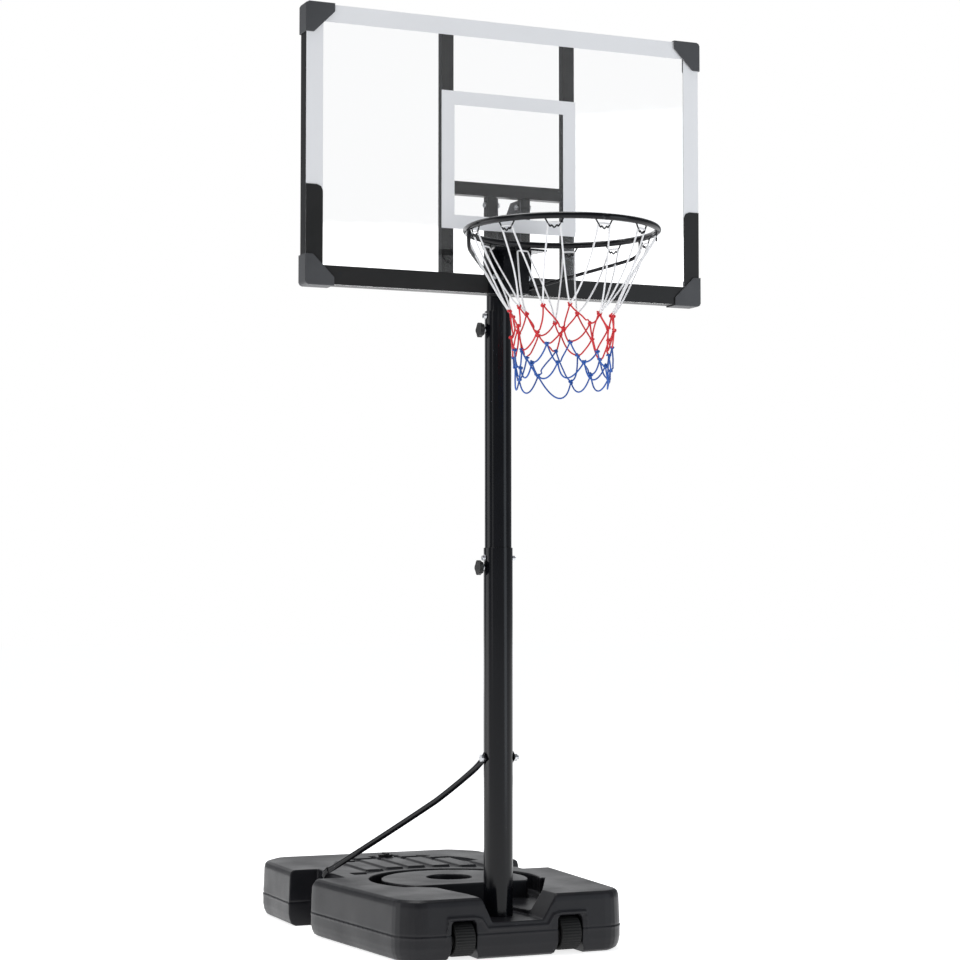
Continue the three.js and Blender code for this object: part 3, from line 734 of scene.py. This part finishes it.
def make_net(materials):
    """A white cord looped over each hook, between the first row's knots, and red and blue meshes below."""
    centre, radius, _ = rim_facts()
    rows = net_knots()
    at = radius - 3 * MM
    tubes = {"white": Tubes(), "red": Tubes(), "blue": Tubes()}
    for i in range(HOOKS):
        left_knot, right_knot = rows[0][i - 1], rows[0][i]
        seat = centre.z - LOOP["drop"]
        turn = hook_turn(i)
        ends = [on_ring(turn + s * LOOP["foot"] / at, at - 1 * MM, seat) for s in (-1, 1)]
        over = [on_ring(turn + s * LOOP["top"] / at, at, seat + LOOP["lift"]) for s in (-1, 1)]
        down = hung(left_knot, ends[0], 0.015, 100 + i, 19)
        up = hung(ends[1], right_knot, 0.015, 130 + i, 19)
        line = np.vstack([down, over, up])
        tubes["white"].add(smooth_path(line, 2), CORD)
    for row, shade in enumerate(NET_SHADES):
        shift = 0 if row % 2 == 0 else -1
        for i, knot in enumerate(rows[row]):
            tubes[shade].add(knot_line(knot, KNOT, 600 + row * 20 + i), CORD * 0.9)
            if row == len(rows) - 1:
                loop = hung(knot, rows[row][(i + 1) % HOOKS], BOTTOM_SLACK, 400 + i, 31, 2.2)
                tubes[shade].add(loop, CORD * MESH_CORD)
                continue
            for side in (0, 1):
                end = rows[row + 1][(i + side + shift) % HOOKS]
                line = hung(knot, end, 0.05, 200 + row * 40 + 2 * i + side)
                tubes[shade].add(line, CORD * MESH_CORD)
    for shade, part in tubes.items():
        piece = part.build(f"net_cords_{shade}", materials[f"net_{shade}"], "upper_pole", "net_cord")
        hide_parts("net")


# ---- struts ----
STRUT_BOLT_HEIGHT = 497
STRUT = {"radius": 8 * MM, "flat_half_width": 12 * MM, "flat_half_thickness": 2.4 * MM}


def make_struts(materials):
    """Bent round tubes whose ends are pressed flat where they are bolted."""
    for name, side in SIDES:
        route = [(41.2, -9, 504), (41.4, 0, STRUT_BOLT_HEIGHT), (42.5, 14, 486), (51, 40, 465),
                 (70, 80, 434),
                 (97, 142, 391), (118, 190, 361), (190, 357, 265), (262, 519, 173), (274, 537, 164),
                 (279, 556, 149), (275, 580, 135), (269, 605, 120), (268.7, 613, 115)]
        line = smooth_path(np.array([(side * x, y, z) for x, y, z in route]) * MM, 8)
        tubes = Tubes()
        add_strut(tubes, line, side)
        piece = tubes.build(
            f"strut_tube_{name}", materials["gloss_black_steel"], "base", "gloss_black_steel")
        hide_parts(f"strut_{name}")


def add_strut(tubes, line, side):
    """Adds the strut's tube, whose section goes from flat at its ends to round between them."""
    share = np.linspace(0, 1, len(line))
    first = tubes.count
    sides = 20
    tangent = np.gradient(line, axis=0)
    tangent /= np.linalg.norm(tangent, axis=1)[:, None]
    flatness = np.clip(1 - np.minimum(share / 0.3, (1 - share) / 0.3), 0, 1)
    flatness = flatness * flatness * (3 - 2 * flatness)
    outward = np.zeros_like(line)
    outward[:, 0] = side
    outward -= tangent * (outward * tangent).sum(1)[:, None]
    outward /= np.linalg.norm(outward, axis=1)[:, None]
    across = np.cross(tangent, outward)
    wide = STRUT["radius"] * (1 - flatness) + STRUT["flat_half_width"] * flatness
    thin = STRUT["radius"] * (1 - flatness) + STRUT["flat_half_thickness"] * flatness
    angle = 2 * np.pi * np.arange(sides) / sides
    rings = (line[:, None] + np.cos(angle)[None, :, None] * across[:, None] * wide[:, None, None]
             + np.sin(angle)[None, :, None] * outward[:, None] * thin[:, None, None])
    tubes.vertices.append(rings.reshape(-1, 3))
    for i in range(len(line) - 1):
        for k in range(sides):
            a, b = first + i * sides + k, first + i * sides + (k + 1) % sides
            tubes.faces.append((a, b, b + sides, a + sides))
            tubes.uv += [(0, 0)] * 4
    for end, order in ((0, -1), (len(line) - 1, 1)):
        tubes.faces.append(tuple([first + end * sides + k for k in range(sides)][::order]))
        tubes.uv += [(0, 0)] * sides
    tubes.count += len(line) * sides


# ---- carried-over CAD nodes ----
def dress_nodes(materials):
    """Every CAD node that stays gets its slot's material, and all but the board panel get edges rounded to
    suit their size.
    """
    slots = {row["node"]: row["material_slot"] for row in frame["record"]["subparts"]}
    shades = {"net_cord": "net_white"}
    for name, node in nodes.items():
        slot = slots[name]
        node.data.materials.clear()
        node.data.materials.append(materials[shades.get(slot, slot)])
        low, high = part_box(name)
        thinnest = min(high - low)
        if name.startswith("corner_guard"):
            bevelled(node, 2.2 * MM, 4)
        elif name == "board_panel":
            continue
        else:
            bevelled(node, min(1.2 * MM, thinnest * 0.12), 2)


make_camera()
make_lights()
make_world()
make_floor()
materials = make_materials()
dress_nodes(materials)
make_base(materials)
make_wheels(materials)
make_board(materials)
make_rim(materials)
make_braces(materials)
make_net(materials)
make_struts(materials)
